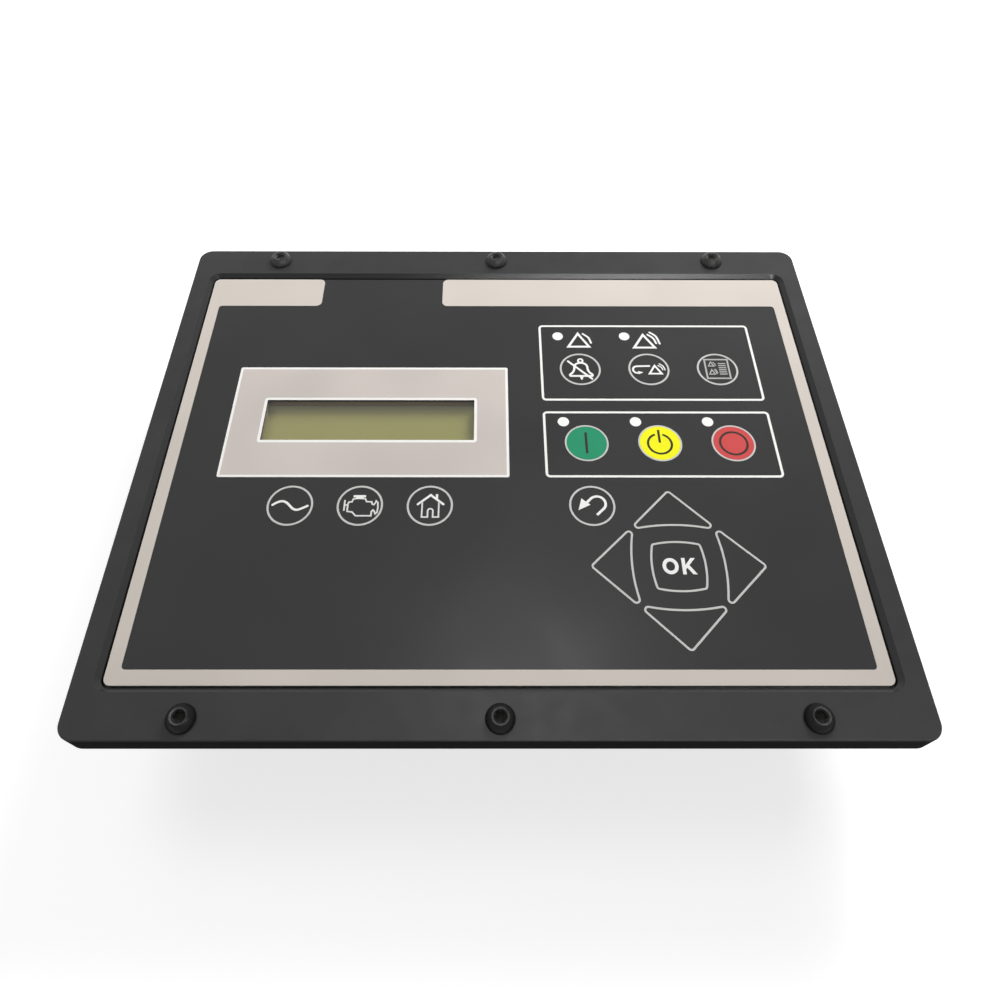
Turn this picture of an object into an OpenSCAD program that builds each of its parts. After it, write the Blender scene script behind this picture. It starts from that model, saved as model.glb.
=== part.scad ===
/* [Overlay] */
// Width of the printed overlay
overlay_w = 251; // [248:0.5:300]
// Height of the printed overlay
overlay_h = 182.4; // [180:0.2:230]
// Corner radius of the overlay
overlay_r = 2.4; // [1:0.2:4]
// Thickness of the overlay film
overlay_t = 0.25; // [0.15:0.05:0.5]
// Thickness of a printed layer
print_t = 0.05; // [0.02:0.01:0.1]
// Width of the pale band down each side
side_band = 4.6; // [2:0.2:6]
// Height of the pale band along the bottom
bottom_band = 5.1; // [2:0.1:7]
// Height of the pale tabs along the top
tab_h = 16.3; // [8:0.1:18]
// Length of the left tab
left_tab = 49; // [20:1:80]
// Dark gap between the left and the right tab
tab_gap = 52.7; // [20:0.1:80]
// Radius at the ends of the tabs
tab_r = 2.4; // [0.5:0.1:4]
// Radius in the inner corners of the pale bands
band_r = 1.4; // [0.5:0.1:3]

/* [Frame] */
// Thickness of the frame from its rear face to its front face
frame_t = 9; // [8.5:0.5:14]
// Corner radius of the frame
frame_r = 5.5; // [4:0.5:14]
// Rounding of the frame's front edge
frame_edge = 0.5; // [0.3:0.1:1.5]
// Least flat border left and right of the recess
side_border = 7.05; // [6:0.05:14]
// Least flat border above and below the recess
end_border = 14.85; // [13.5:0.05:22]
// Width and drop of the mitred bevel round the recess
bevel = 1.6; // [0.8:0.1:2]
// Gap between the overlay and the wall of its recess
overlay_gap = 0.85; // [0.3:0.05:1.5]
// Depth of the overlay's surface below the frame's face
recess = 1.5; // [0.5:0.1:2.5]
// Thickness of the recess floor
floor_t = 1.75; // [1.2:0.05:2.5]
// Skin left over the cores in the flange
core_skin = 3; // [2:0.5:4]
// Thickness of the ribs between the cores
core_rib = 1.6; // [1:0.2:3]
// Distance from rib to rib
core_pitch = 16; // [10:1:30]

/* [Display] */
// Room between the housing's left wall and the display board
display_room = 10.7; // [7:0.1:15]
// Place of the display's centre up the panel
display_y = 13.15; // [8:0.05:20]
// Width of the display window
window_w = 82.2; // [60:0.2:84]
// Height of the display window
window_h = 19.4; // [14:0.2:22]
// Width of the field round the display
surround_w = 109.1; // [100:0.1:118]
// Height of the field round the display
surround_h = 53.2; // [44:0.1:56]
// Width of the line round the field
surround_line = 1; // [0.5:0.1:1.6]
// Width of the line round the window
window_line = 1.15; // [0.5:0.05:1.6]
// Ledge that the clear lens sits on
lens_ledge = 1.5; // [1:0.1:2]
// Thickness of the clear lens
lens_t = 1; // [0.8:0.1:1.5]
// Wall of the collar round the lens
collar_wall = 1.6; // [1:0.1:2.5]
// Depth of the display module from its frame to its board
lcd_depth = 9; // [7:0.5:10]
// Width of the display board
lcd_board_w = 116; // [114:1:118]
// Height of the display board
lcd_board_h = 37; // [36:0.5:44]

/* [Keys] */
// Sideways place of the middle column of keys
keys_x = 62.3; // [60:0.1:64]
// Distance between the columns on the right
key_pitch = 28.2; // [20:0.1:29]
// Distance between the three keys below the display
menu_pitch = 25.4; // [20:0.1:30]
// Outer diameter of a round key's outline
key_d = 16.8; // [12:0.1:18]
// Width of a key's outline
key_line = 0.75; // [0.4:0.05:1.5]
// Width of a coloured key's outline
run_line = 0.65; // [0.4:0.05:1.5]
// Place of the alarm keys up the panel
alarm_y = 39.1; // [37:0.1:41]
// Place of the run keys up the panel
run_y = 2.15; // [1:0.05:4]
// Place of the menu keys and the back key up the panel
menu_y = -25.6; // [-27:0.1:-24]
// Place of the direction pad's centre up the panel
pad_y = -49.75; // [-51:0.05:-48]
// Distance from the pad's centre to the tip of an arrow key
arrow_tip = 30.25; // [28:0.25:32]
// Diameter of an indicator dot
lamp_d = 4.44; // [3.5:0.02:6]
// Width of the group boxes
group_w = 89.1; // [87:0.1:94]
// Width of the line round a group
group_line = 0.95; // [0.5:0.05:1.5]

/* [Fasteners] */
// Sideways distance from one mounting screw to the next
screw_pitch = 97.7; // [80:0.1:110]
// Distance of the mounting screws from the frame's long edges
screw_inset = 6.65; // [6:0.05:7]
// Least distance from the housing's wall to a mounting screw's axis
screw_room = 9.85; // [9:0.05:14]
// Major diameter of the mounting screw's thread
screw_d = 5; // [4:0.5:6]
// Length of the mounting screw under its head
screw_len = 21; // [16:1:40]

/* [Housing] */
// Least width of the flange left and right of the housing
flange_room = 13; // [11:0.5:20]
// Width of the rear housing
housing_w = 244; // [236:1:246]
// Height of the rear housing
housing_h = 184; // [180:1:186]
// Corner radius of the rear housing
housing_r = 10; // [8:0.5:16]
// Wall of the rear housing
wall = 3; // [2.6:0.1:4]
// Depth of the housing behind the panel's seat
housing_depth = 38.8; // [34:0.1:60]
// Depth of the connector shelf behind the panel's seat
shelf_depth = 21; // [20:0.5:26]
// Length of the shelf from the housing's lower side
shelf_len = 46; // [42:1:60]
// Draft of the housing's sides in degrees
draft = 1.5; // [0.5:0.25:3]
// Height of the ribs on the back
rib_h = 1.2; // [0.6:0.1:3]
// Distance between the ribs on the back
rib_pitch = 24; // [12:1:40]
// Thickness of the ribs
rib_t = 2; // [1.2:0.1:3]

/* [Connector] */
// Width of the connector's shroud
shroud_w = 68; // [60:1:80]
// Height of the connector's shroud
shroud_h = 23; // [21:0.5:26]
// Wall of the shroud
shroud_wall = 2; // [1.5:0.1:2.5]
// Depth of the socket in the shroud
socket_depth = 12; // [11.5:0.5:14]
// Bore of the jackscrew insert
jack_d = 5; // [4:0.5:6]
// Distance from pin to pin
pin_pitch = 3.2; // [2.8:0.1:3.4]

/* [Hidden] */
$fn = 48;
cut = 1;

// Frame outline: it clears the overlay's recess in front and the housing behind
recess_w = overlay_w + 2 * overlay_gap;
recess_h = overlay_h + 2 * overlay_gap;
recess_r = overlay_r + overlay_gap;
frame_w = 2 * max(recess_w / 2 + bevel + side_border, housing_w / 2 + flange_room);
screw_y = max(recess_h / 2 + bevel + end_border - screw_inset, housing_h / 2 + screw_room);
frame_h = 2 * (screw_y + screw_inset);

// Layers of the keypad, from the film down to the floor they lie on
spacer_t = 0.5;
circuit_t = 0.2;
plate_t = 1;
overlay_z = frame_t - recess;
spacer_z = overlay_z - overlay_t;
circuit_z = spacer_z - spacer_t;
plate_z = circuit_z - circuit_t;
floor_z = plate_z - plate_t;
under_z = floor_z - floor_t;

// Artwork
group_r = 1.8;
lamp_r = lamp_d / 2;
lamp_dx = 8.4;
alarm_lamp_dy = 18.1;
run_lamp_dy = 10.1;
alarm_below = 16.4;
alarm_above = 24.4;
run_below = 15.65;
run_above = 15.15;
alarm_box = [alarm_y - alarm_below, alarm_y + alarm_above];
run_box = [run_y - run_below, run_y + run_above];
display_x = wall + display_room + (lcd_board_w - housing_w) / 2;
columns = [for (i = [-1:1]) keys_x + i * key_pitch];
menu_keys = [for (i = [-1:1]) [display_x + i * menu_pitch, menu_y]];
alarm_keys = [for (x = columns) [x, alarm_y]];
run_keys = [for (x = columns) [x, run_y]];
back_key = [columns[0], menu_y];
plain_keys = concat(menu_keys, alarm_keys, [back_key]);
alarm_lamps = [for (i = [0:1]) [columns[i] - lamp_dx, alarm_y + alarm_lamp_dy]];
run_lamps = [for (x = columns) [x - lamp_dx, run_y + run_lamp_dy]];
lamps = concat(alarm_lamps, run_lamps);

// Arrow key: two slanted sides and a hollow base, with round corners
arrow_corner = 1.5;
arrow_half = 12.4;
arrow_base = 15.8;
arrow_base_r = 63.2;
arrow_dome = 21;
ok_half = 9.72;
ok_side_r = 36;
ok_corner = 1.3;
pad_keys = [for (a = [0:90:270]) [keys_x + arrow_dome * cos(a), pad_y + arrow_dome * sin(a)]];
dome_places = concat(plain_keys, run_keys, pad_keys, [[keys_x, pad_y]]);
dome_r = 5;
dome_h = 0.45;
dome_t = 0.12;
dome_room = 1.2;

// Display window, collar and module
collar_w = window_w + 2 * (lens_ledge + collar_wall);
collar_h = window_h + 2 * (lens_ledge + collar_wall);
collar_gap = 0.3;
lens_gap = 0.05;
view_margin = 0.3;
glass_margin = 4;
glass_t = 2.4;
lcd_frame_t = 0.5;
lcd_case_margin = 2;
lcd_board_t = 1.6;
lcd_glass_z = under_z - lcd_frame_t - glass_t;
lcd_board_z = under_z - lcd_depth;
lcd_glass_w = window_w + 2 * glass_margin;
lcd_glass_h = window_h + 2 * glass_margin;
lcd_hole_inset = 2.5;
lcd_hole = [lcd_board_w / 2 - lcd_hole_inset, lcd_board_h / 2 - lcd_hole_inset];
lcd_screw_r = 1;
lcd_head_r = 2;
lcd_head_h = 1.6;
lcd_boss_r = 2.4;
lcd_screw_len = 7;
header_w = 41;
header_d = 2.6;

// Mounting screws
mount_places = [for (x = [-1:1]) for (y = [-1, 1]) [x * screw_pitch, y * screw_y]];
screw_gap = 0.25;
shank_r = screw_d * 0.448;
head_r = screw_d * 0.94;
head_h = screw_d * 0.6;
head_flat_r = screw_d * 0.55;
head_rim = 0.5;
hex_r = screw_d * 0.42;
hex_depth = screw_d * 0.42;
hex_lead = screw_d * 0.08;
hex_lead_low = screw_d * 0.45;
hex_lead_high = screw_d * 0.53;
tip_bevel = 0.8;
hole_room = 1;

// Case: the housing's rim laps into the frame, and a gasket groove runs round it
rim_lap = 2;
rim_gap = 0.3;
rim_seat = 4;
groove_gap = 2.5;
gasket_w = 3;
gasket_depth = 2.5;
gasket_proud = 0.5;
seal_w = 1.4;
seal_h = 1;
back_z = -housing_depth;
shelf_z = -shelf_depth;
shelf_y = shelf_len - housing_h / 2;
step_r = 6;
gusset_x = 49;
gusset_pitch = 23;

// Screws that hold the housing, in wells from behind, two rows of four
case_x = housing_w / 2 - housing_r;
case_y = housing_h / 2 - housing_r;
case_places = [for (x = [-1, -0.5, 0.5, 1]) for (y = [-1, 1]) [x * case_x, y * case_y]];
case_screw_r = 1.75;
case_head_r = 3.2;
case_head_h = 2.4;
case_hex_r = 1.5;
case_hex_depth = 1.4;
case_hole_gap = 0.2;
case_grip = 6;
case_bite = 9;
well_r = 3.7;
pillar_r = 5.4;
boss_r = 4;
boss_z = -10;
pillar_gap = 0.1;
pillar_z = boss_z - pillar_gap;
well_z = pillar_z - case_grip;

// Main board, carried on posts in the housing
board_t = 1.6;
board_gap = 2;
board_z = shelf_z + wall + board_gap;
board_top = board_z + board_t;
board_r = 3;
board_side = 8;
board_end = 17;
board_w = housing_w - 2 * board_side;
board_h = housing_h - 2 * board_end;
post_inset = 10;
post_x = board_w / 2 - post_inset;
post_y = board_h / 2 - post_inset;
shelf_post = 8;
posts = [[-post_x, post_y], [0, post_y], [post_x, post_y], [-post_x, -post_y], [post_x, -post_y],
    [0, shelf_y + shelf_post]];
post_r = 3.6;
board_screw_r = 1.5;
board_head_r = 2.8;
board_head_h = 2;
board_screw_len = 4;
board_hole_gap = 0.2;

// Components on the main board, placed from its upper corners
processor_inset = [26, 33];
processor_at = [board_w / 2 - processor_inset[0], board_h / 2 - processor_inset[1]];
processor = [20, 20, 1.6];
memory_inset = [32, 87];
memory_at = [board_w / 2 - memory_inset[0], board_h / 2 - memory_inset[1]];
memory_pitch = 15;
memory = [10, 14, 1.2];
driver_pitch = 13;
driver_rise = 20;
driver = [6, 5, 1.5];
supply_inset = [26, 27];
supply_at = [supply_inset[0] - board_w / 2, board_h / 2 - supply_inset[1]];
capacitor_pitch = 16;
capacitor_r = 6.2;
capacitor_h = 16;
capacitor_groove = 0.8;
inductor_w = 14;
inductor_h = 8;
inductor_core_r = 4.4;
inductor_core_depth = 2;

// Lamps under the indicator dots
led_r = 1.5;
led_h = 5;
led_gap = 0.6;
led_rim = 0.3;
led_rim_h = 1;
guide_r = 2;
guide_gap = 0.15;
guide_flange = 1.2;

// Keypad tail, through a slot below the display
tail_w = 22;
tail_drop = 24;
tail_at = [display_x, menu_y - tail_drop];
slot_w = 26;
slot_h = 3;
tail_bend = 1.1;
socket_h = 4.4;
socket_d = 5;
socket_end = 2.5;
socket_gap = 0.2;
tail_seat = 3;
tail_mid_y = tail_at[1] + slot_h / 2 - tail_bend + circuit_t / 2;

// Connector
connector_drop = 21;
shroud_len = 15;
insert_sunk = 3;
connector_y = shelf_y - connector_drop;
mouth_z = shelf_z - shroud_len;
socket_z = mouth_z + socket_depth;
flange_t = 1.2;
flange_out = 4;
seal_in = 1.2;
cord_w = 1.6;
shroud_r = 4;
shroud_gap = 0.3;
pin_w = 0.9;
pin_len = 7;
pin_cols = 6;
pin_rows = 4;
pin_start = 11;
post_wall = 1.5;
insert_wall = 1;
insert_len = 14;
insert_z = mouth_z + insert_sunk;
jack_r = jack_d / 2;
insert_r = jack_r + insert_wall;

function hundredths(x) = round(x * 100) / 100;

module rounded(w, h, r) {
    square([w, h - 2 * r], center = true);
    square([w - 2 * r, h], center = true);
    for (x = [-1, 1])
        for (y = [-1, 1])
            translate([x * (w / 2 - r), y * (h / 2 - r)])
                circle(r);
}

module ring(w, h, r, line) {
    difference() {
        rounded(w, h, r);
        if (r > line)
            rounded(w - 2 * line, h - 2 * line, r - line);
        else
            square([w - 2 * line, h - 2 * line], center = true);
    }
}

// Block whose sides lean out by grow from z0 up to z1, with cones at its corners
module leaning_block(w, h, r, z0, z1, grow) {
    for (x = [-1, 1])
        for (y = [-1, 1])
            translate([x * (w / 2 - r), y * (h / 2 - r), z0])
                cylinder(h = z1 - z0, r1 = r, r2 = r + grow);
    rotate([90, 0, 90])
        linear_extrude(w - 2 * r, center = true)
            polygon([[-h / 2, z0], [h / 2, z0], [h / 2 + grow, z1], [-h / 2 - grow, z1]]);
    rotate([90, 0, 0])
        linear_extrude(h - 2 * r, center = true)
            polygon([[-w / 2, z0], [w / 2, z0], [w / 2 + grow, z1], [-w / 2 - grow, z1]]);
}

// Block with upright sides whose top edge is rounded
module soft_block(w, h, r, t, edge) {
    module side(half) {
        square([half, t - edge]);
        square([half - edge, t]);
        translate([half - edge, t - edge])
            circle(edge);
    }
    module bar(half) {
        side(half);
        mirror([1, 0])
            side(half);
    }
    for (x = [-1, 1])
        for (y = [-1, 1])
            translate([x * (w / 2 - r), y * (h / 2 - r)])
                rotate_extrude()
                    intersection() {
                        side(r);
                        square([r, t]);
                    }
    rotate([90, 0, 90])
        linear_extrude(w - 2 * r, center = true)
            bar(h / 2);
    rotate([90, 0, 0])
        linear_extrude(h - 2 * r, center = true)
            bar(w / 2);
}

module at(places) {
    for (p = places)
        translate(p)
            children();
}

module layer(z, t) {
    translate([0, 0, z])
        linear_extrude(t)
            children();
}

module printed() {
    layer(overlay_z, print_t)
        children();
}

module overlay_outline() {
    rounded(overlay_w, overlay_h, overlay_r);
}

module at_display() {
    translate([display_x, display_y])
        children();
}

module collar_opening() {
    at_display()
        square([collar_w + 2 * collar_gap, collar_h + 2 * collar_gap], center = true);
}

module lamp_holes(r) {
    at(lamps)
        circle(r);
}

module tail_slot() {
    translate(tail_at)
        square([slot_w, slot_h], center = true);
}

// Cores in the flange's rear face, in equal cells between the solid pads round the mounting screws
module flange_cores() {
    inner = housing_h / 2 + groove_gap + gasket_w + core_rib;
    outer = frame_h / 2 - core_rib - frame_edge;
    end = frame_w / 2 - frame_r;
    pad = head_r + core_rib;
    for (span = [[-end, -screw_pitch - pad], [pad - screw_pitch, -pad], [pad, screw_pitch - pad],
            [screw_pitch + pad, end]]) {
        cells = max(1, round((span[1] - span[0]) / core_pitch));
        cell = (span[1] - span[0] + core_rib) / cells;
        if (cell > 2 * core_rib)
            for (i = [0:cells - 1])
                for (side = [-1, 1])
                    translate([span[0] + (i + 0.5) * cell - core_rib / 2, side * (inner + outer) / 2])
                        square([cell - core_rib, outer - inner], center = true);
    }
}

module bezel() color("#38383a")
    difference() {
        union() {
            difference() {
                soft_block(frame_w, frame_h, frame_r, frame_t, frame_edge);
                layer(floor_z, frame_t)
                    rounded(recess_w, recess_h, recess_r);
                leaning_block(recess_w, recess_h, recess_r, frame_t - bevel, frame_t + cut, bevel + cut);
                layer(rim_lap, under_z - rim_lap)
                    rounded(housing_w - 2 * rim_seat, housing_h - 2 * rim_seat, housing_r - rim_seat);
                layer(-cut, cut + rim_lap)
                    rounded(housing_w + 2 * rim_gap, housing_h + 2 * rim_gap, housing_r + rim_gap);
                layer(-cut, cut + gasket_depth)
                    gasket_ring();
                layer(-cut, cut + frame_t - core_skin)
                    flange_cores();
            }
            layer(floor_z - floor_t / 2, spacer_z - floor_z + floor_t / 2)
                at_display()
                    square([collar_w, collar_h], center = true);
            at(case_places)
                translate([0, 0, boss_z])
                    cylinder(h = under_z + floor_t / 2 - boss_z, r = boss_r);
            at_display()
                at(lcd_corners())
                    translate([0, 0, lcd_board_z])
                        cylinder(h = under_z + floor_t / 2 - lcd_board_z, r = lcd_boss_r);
        }
        layer(under_z - cut, frame_t)
            at_display()
                square([window_w, window_h], center = true);
        layer(spacer_z - lens_t, frame_t)
            at_display()
                square([window_w + 2 * lens_ledge, window_h + 2 * lens_ledge], center = true);
        layer(under_z - cut, frame_t) {
            lamp_holes(guide_r + guide_gap);
            tail_slot();
        }
        at(mount_places)
            translate([0, 0, -cut])
                cylinder(h = frame_t + 2 * cut, r = screw_d / 2 + screw_gap);
        at(case_places)
            translate([0, 0, boss_z - cut])
                cylinder(h = case_bite + 2 * cut, r = case_screw_r);
        at_display()
            at(lcd_corners())
                translate([0, 0, lcd_board_z - cut])
                    cylinder(h = lcd_screw_len + cut, r = lcd_screw_r);
    }

function lcd_corners() = [for (x = [-1, 1]) for (y = [-1, 1]) [x * lcd_hole[0], y * lcd_hole[1]]];

module gasket_ring() {
    w = housing_w + 2 * (groove_gap + gasket_w);
    h = housing_h + 2 * (groove_gap + gasket_w);
    ring(w, h, housing_r + groove_gap + gasket_w, gasket_w);
}

module flange_gasket() color("#1d1d1f")
    layer(-gasket_proud, gasket_depth + gasket_proud)
        gasket_ring();

module keypad_overlay() color("#3d3e3e")
    layer(spacer_z, overlay_t)
        difference() {
            overlay_outline();
            at_display()
                square([window_w, window_h], center = true);
            lamp_holes(lamp_r);
        }

// Dark field inside the pale bands
module dark_field() {
    top = overlay_h / 2 - tab_h;
    bottom = bottom_band - overlay_h / 2;
    translate([0, (top + bottom) / 2])
        rounded(overlay_w - 2 * side_band, top - bottom, band_r);
}

module tab_end(x) {
    translate([x, overlay_h / 2 - tab_h / 2])
        rounded(3 * tab_r, tab_h, tab_r);
}

module border_print() color("#cfc6bc") {
    gap_left = left_tab - overlay_w / 2;
    gap_right = gap_left + tab_gap;
    printed() {
        difference() {
            overlay_outline();
            dark_field();
            translate([gap_left - tab_r, overlay_h / 2 - 2 * tab_h])
                square([tab_gap + 2 * tab_r, 3 * tab_h]);
        }
        tab_end(gap_left - 1.5 * tab_r);
        tab_end(gap_right + 1.5 * tab_r);
    }
}

module surround_print() color("#c9c0ba")
    printed()
        at_display()
            difference() {
                square([surround_w - 2 * surround_line, surround_h - 2 * surround_line], center = true);
                rounded(window_w + 2 * window_line, window_h + 2 * window_line, window_line);
            }

module group_box(low, high) {
    translate([keys_x, (low + high) / 2])
        ring(group_w, high - low, group_r, group_line);
}

module outline_print() color("#f0f0ea")
    printed() {
        at_display() {
            ring(surround_w, surround_h, surround_line * 0.8, surround_line);
            ring(window_w + 2 * window_line, window_h + 2 * window_line, window_line, window_line);
        }
        group_box(alarm_box[0], alarm_box[1]);
        group_box(run_box[0], run_box[1]);
    }

// Arrow key pointing up from the pad's centre: a triangle with a hollow base, rounded and grown by r
module arrow_shape(r) {
    apex_y = arrow_tip - arrow_corner;
    base_y = arrow_base - arrow_base_r;
    reach = arrow_base_r + arrow_corner;
    corner_y = base_y + sqrt(pow(reach, 2) - pow(arrow_half, 2));
    offset(r = r)
        difference() {
            polygon([[0, apex_y], [arrow_half, corner_y], [-arrow_half, corner_y]]);
            translate([0, base_y])
                circle(reach, $fn = 300);
        }
}

// Centre key: a square with bulging sides, rounded and grown by r
module ok_shape(r) {
    reach = ok_side_r - ok_corner;
    offset(r = r)
        intersection_for(a = [0:90:270])
            rotate(a)
                translate([0, ok_half - ok_side_r])
                    circle(reach, $fn = 180);
}

module key_ring(line) {
    difference() {
        circle(key_d / 2);
        circle(key_d / 2 - line);
    }
}

module key_outline_print() color("#c4c4c2")
    printed() {
        at(plain_keys)
            key_ring(key_line);
        at(run_keys)
            key_ring(run_line);
        translate([keys_x, pad_y]) {
            for (a = [0:90:270])
                rotate(a)
                    difference() {
                        arrow_shape(arrow_corner);
                        arrow_shape(arrow_corner - key_line);
                    }
            difference() {
                ok_shape(ok_corner);
                ok_shape(ok_corner - key_line);
            }
        }
    }

module key_disc(place) {
    printed()
        translate(place)
            circle(key_d / 2 - run_line);
}

module start_key_print() color("#35966d")
    key_disc(run_keys[0]);

module standby_key_print() color("#fdfb2c")
    key_disc(run_keys[1]);

module stop_key_print() color("#cc5453")
    key_disc(run_keys[2]);

module indicator_windows() color("#f6f4ee")
    layer(spacer_z, overlay_t + print_t)
        lamp_holes(lamp_r);

module key_spacer() color("#e8e6dc")
    layer(circuit_z, spacer_t)
        difference() {
            overlay_outline();
            collar_opening();
            lamp_holes(guide_r + guide_gap);
            at(dome_places)
                circle(dome_r + dome_room);
        }

// Shallow metal snap dome, a cone with a flat top
module snap_domes() color("#c8ccd0")
    at(dome_places)
        translate([0, 0, circuit_z])
            difference() {
                cylinder(h = dome_h, r1 = dome_r, r2 = dome_r * 0.55);
                translate([0, 0, -dome_t])
                    cylinder(h = dome_h, r1 = dome_r, r2 = dome_r * 0.55);
            }

module keypad_circuit() color("#b9c6b4") {
    tail_low = board_top + tail_seat;
    bend_z = circuit_z - tail_bend;
    bend_y = tail_at[1] + slot_h / 2;
    layer(plate_z, circuit_t)
        difference() {
            overlay_outline();
            collar_opening();
            lamp_holes(guide_r + guide_gap);
            tail_slot();
        }
    translate([tail_at[0], 0, 0])
        rotate([90, 0, 90])
            linear_extrude(tail_w, center = true)
                translate([bend_y, bend_z]) {
                    translate([-tail_bend, tail_low - bend_z])
                        square([circuit_t, bend_z - tail_low]);
                    intersection() {
                        difference() {
                            circle(tail_bend);
                            circle(tail_bend - circuit_t);
                        }
                        translate([-tail_bend, 0])
                            square(tail_bend);
                    }
                }
}

module backing_plate() color("#a9adb0")
    layer(floor_z, plate_t)
        difference() {
            overlay_outline();
            collar_opening();
            lamp_holes(guide_r + guide_gap);
            tail_slot();
        }

module display_window() color("#dfe8ea", 0.35)
    layer(spacer_z - lens_t, lens_t)
        at_display()
            square([window_w + 2 * (lens_ledge - lens_gap), window_h + 2 * (lens_ledge - lens_gap)],
                center = true);

module lcd_glass() color("#8f9560")
    layer(lcd_glass_z, glass_t)
        at_display()
            square([lcd_glass_w, lcd_glass_h], center = true);

module lcd_frame() color("#2b2c2e")
    difference() {
        layer(lcd_board_z, lcd_depth)
            at_display()
                square([lcd_glass_w + 2 * lcd_case_margin, lcd_glass_h + 2 * lcd_case_margin], center = true);
        layer(lcd_board_z - cut, lcd_depth - lcd_frame_t + cut)
            at_display()
                square([lcd_glass_w + 2 * (lcd_case_margin - lcd_frame_t),
                    lcd_glass_h + 2 * (lcd_case_margin - lcd_frame_t)], center = true);
        layer(lcd_glass_z, frame_t)
            at_display()
                square([window_w + 2 * view_margin, window_h + 2 * view_margin], center = true);
    }

module lcd_backlight() color("#f4f4ee")
    layer(lcd_board_z, lcd_glass_z - lcd_board_z)
        at_display()
            square([lcd_glass_w, lcd_glass_h], center = true);

module lcd_board() color("#2f6b4a")
    layer(lcd_board_z - lcd_board_t, lcd_board_t)
        at_display()
            difference() {
                square([lcd_board_w, lcd_board_h], center = true);
                at(lcd_corners())
                    circle(lcd_screw_r + board_hole_gap);
            }

module lcd_screws() color("#9a9c9e")
    at_display()
        at(lcd_corners())
            translate([0, 0, lcd_board_z - lcd_board_t]) {
                cylinder(h = lcd_board_t + lcd_screw_len - hole_room, r = lcd_screw_r);
                translate([0, 0, -lcd_head_h])
                    cylinder(h = lcd_head_h, r1 = lcd_head_r * 0.75, r2 = lcd_head_r);
            }

module display_header() color("#1f2022")
    layer(board_top, lcd_board_z - lcd_board_t - board_top)
        translate([display_x, display_y + lcd_board_h / 2 - header_d - cut])
            square([header_w, header_d], center = true);

module light_guides() color("#e6efef")
    at(lamps) {
        low = board_top + led_h + led_gap;
        translate([0, 0, low])
            cylinder(h = spacer_z - low, r = guide_r);
        translate([0, 0, under_z - guide_flange])
            cylinder(h = guide_flange, r = guide_r + guide_flange);
    }

module indicator_leds() color("#e2e3da")
    at(lamps)
        translate([0, 0, board_top]) {
            cylinder(h = led_rim_h, r = led_r + led_rim);
            cylinder(h = led_h - led_r, r = led_r);
            translate([0, 0, led_h - led_r])
                intersection() {
                    sphere(led_r);
                    cylinder(h = led_r + cut, r = led_r + cut);
                }
        }

module main_board() color("#1f5a3d")
    layer(board_z, board_t)
        difference() {
            rounded(board_w, board_h, board_r);
            at(posts)
                circle(board_screw_r + board_hole_gap);
        }

// Flat chip on the board's front, given by its place and its size
module chip(place, size) {
    translate([place[0], place[1], board_top])
        linear_extrude(size[2])
            square([size[0], size[1]], center = true);
}

// Processor, two memories and three bus drivers
module control_chips() color("#232426") {
    chip(processor_at, processor);
    for (side = [0:1])
        chip([memory_at[0] + side * memory_pitch, memory_at[1]], memory);
    for (side = [-1:1])
        chip([side * driver_pitch, connector_y + driver_rise], driver);
}

// Capacitors that hang from the board's back, with a rolled groove near their sealed end
module power_capacitors() color("#2a2d3a")
    for (i = [0:2])
        translate([supply_at[0] + i * capacitor_pitch, supply_at[1], board_z - capacitor_h])
            difference() {
                cylinder(h = capacitor_h, r = capacitor_r);
                translate([0, 0, capacitor_h - 2 * capacitor_groove])
                    rotate_extrude()
                        translate([capacitor_r + capacitor_groove / 2, 0])
                            circle(capacitor_groove);
            }

module power_inductor() color("#3a3836")
    translate([supply_at[0] + 3 * capacitor_pitch + inductor_w / 2, supply_at[1], board_z - inductor_h])
        difference() {
            linear_extrude(inductor_h)
                rounded(inductor_w, inductor_w, board_r);
            translate([0, 0, -cut])
                cylinder(h = inductor_core_depth + cut, r = inductor_core_r);
        }

module tail_socket() color("#ded8c6")
    difference() {
        translate([tail_at[0], tail_mid_y, board_top + socket_h / 2])
            cube([tail_w + 2 * socket_end, socket_d, socket_h], center = true);
        translate([tail_at[0], tail_mid_y, board_top + tail_seat + socket_h / 2])
            cube([tail_w + 2 * socket_gap, circuit_t + 2 * socket_gap, socket_h], center = true);
    }

module at_connector() {
    translate([0, connector_y, 0])
        children();
}

function pin_places() = [for (side = [-1, 1]) for (i = [0:pin_cols - 1]) for (j = [0:pin_rows - 1])
    [side * (pin_start + i * pin_pitch), (j - (pin_rows - 1) / 2) * pin_pitch]];

module shroud_inside() {
    rounded(shroud_w - 2 * shroud_wall, shroud_h - 2 * shroud_wall, shroud_r - shroud_wall);
}

module connector_header() color("#26272a")
    at_connector()
        difference() {
            union() {
                layer(board_z - flange_t, flange_t)
                    rounded(shroud_w + 2 * flange_out, shroud_h + 2 * flange_out, shroud_r + 1);
                layer(mouth_z, board_z - mouth_z)
                    rounded(shroud_w, shroud_h, shroud_r);
            }
            layer(mouth_z - cut, board_z - mouth_z + 2 * cut)
                shroud_inside();
        }

// Block that fills the back of the shroud and holds the pins and the jackscrew insert
module contact_block() color("#26272a")
    at_connector()
        difference() {
            union() {
                layer(socket_z, board_z - socket_z)
                    shroud_inside();
                translate([0, 0, insert_z])
                    cylinder(h = socket_z - insert_z + cut, r = insert_r + post_wall);
            }
            translate([0, 0, insert_z - cut])
                cylinder(h = insert_len + cut, r = insert_r);
            layer(socket_z - cut, board_z - socket_z + 2 * cut)
                at(pin_places())
                    square(pin_w, center = true);
        }

module connector_pins() color("#b8913f")
    at_connector()
        layer(socket_z - pin_len, board_z - socket_z + pin_len)
            at(pin_places())
                square(pin_w, center = true);

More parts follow.
